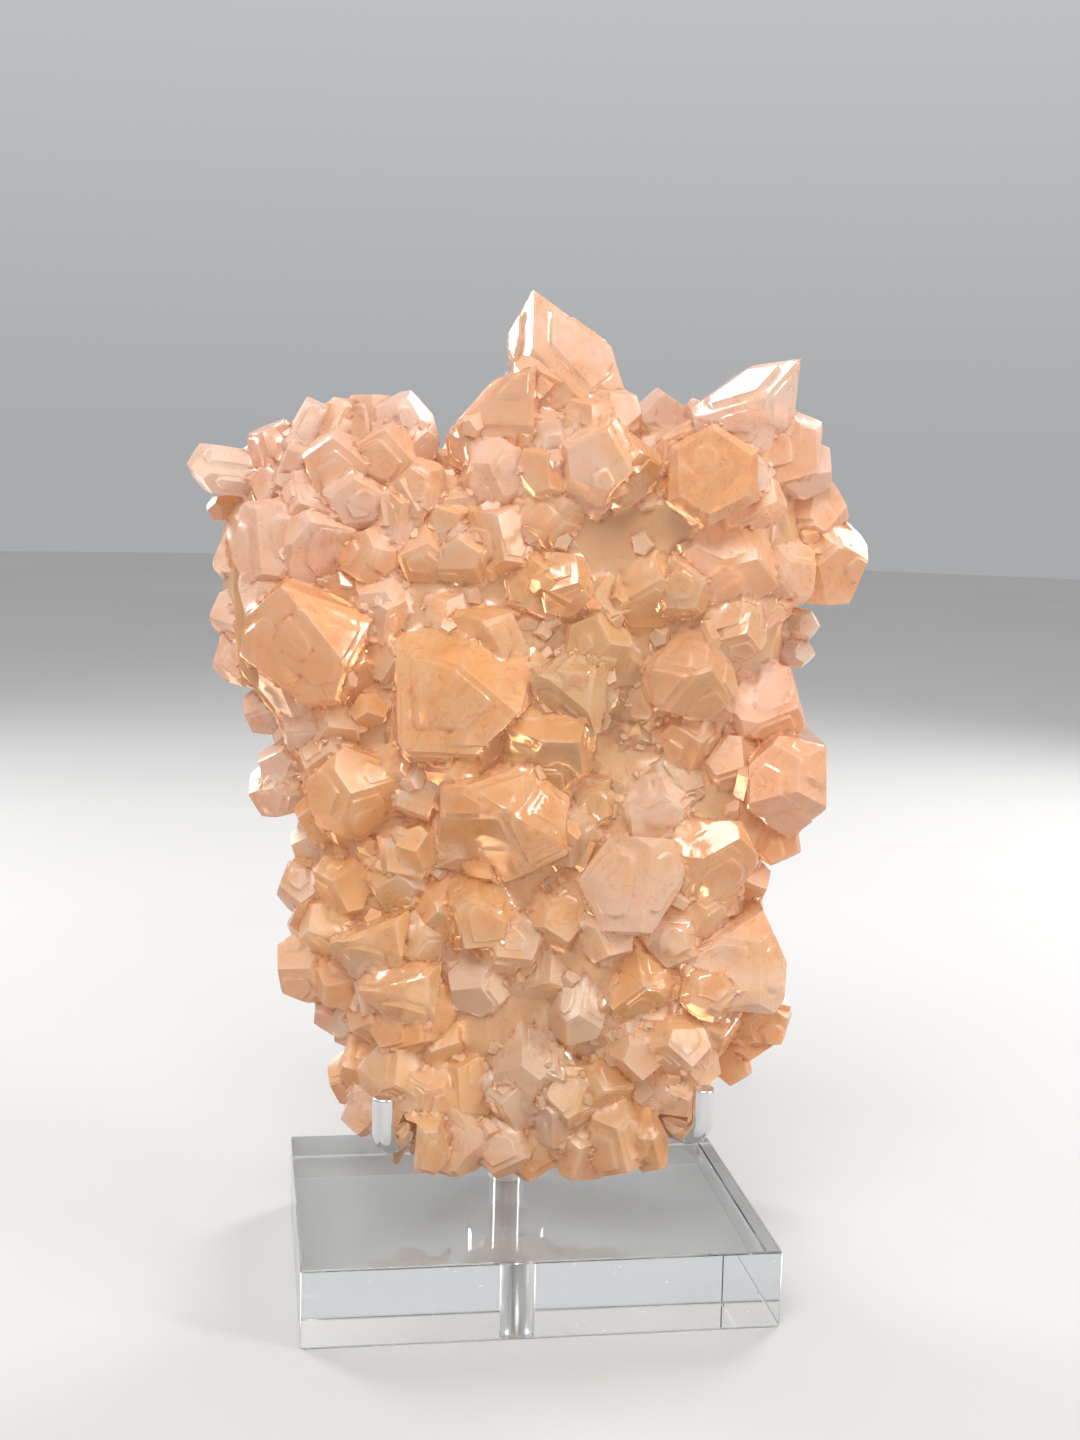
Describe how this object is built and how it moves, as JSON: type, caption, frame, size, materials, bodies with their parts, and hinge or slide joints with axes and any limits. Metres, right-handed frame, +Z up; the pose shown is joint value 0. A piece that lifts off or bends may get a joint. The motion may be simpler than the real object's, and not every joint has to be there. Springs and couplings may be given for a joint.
{
  "type": "quartz crystal cluster on display stand",
  "caption": "Upright plate of stubby peach quartz crystals resting in two hooked steel arms above a clear block base, for display on a shelf",
  "frame": {"origin": "middle of the base block's underside", "axes": "+Z up, front of the stand faces -Y, width along X"},
  "size_m": [0.1701, 0.09, 0.2556],
  "materials": {
    "quartz": "translucent milky quartz with glossy crystal faces",
    "acrylic": "clear cast block with polished edges",
    "steel": "polished steel"
  },
  "bodies": {
    "root": {"crystal_cluster": "quartz", "base_block": "acrylic", "post": "steel", "collar": "steel", "arm_left": "steel", "arm_right": "steel"}
  },
  "joints": []
}
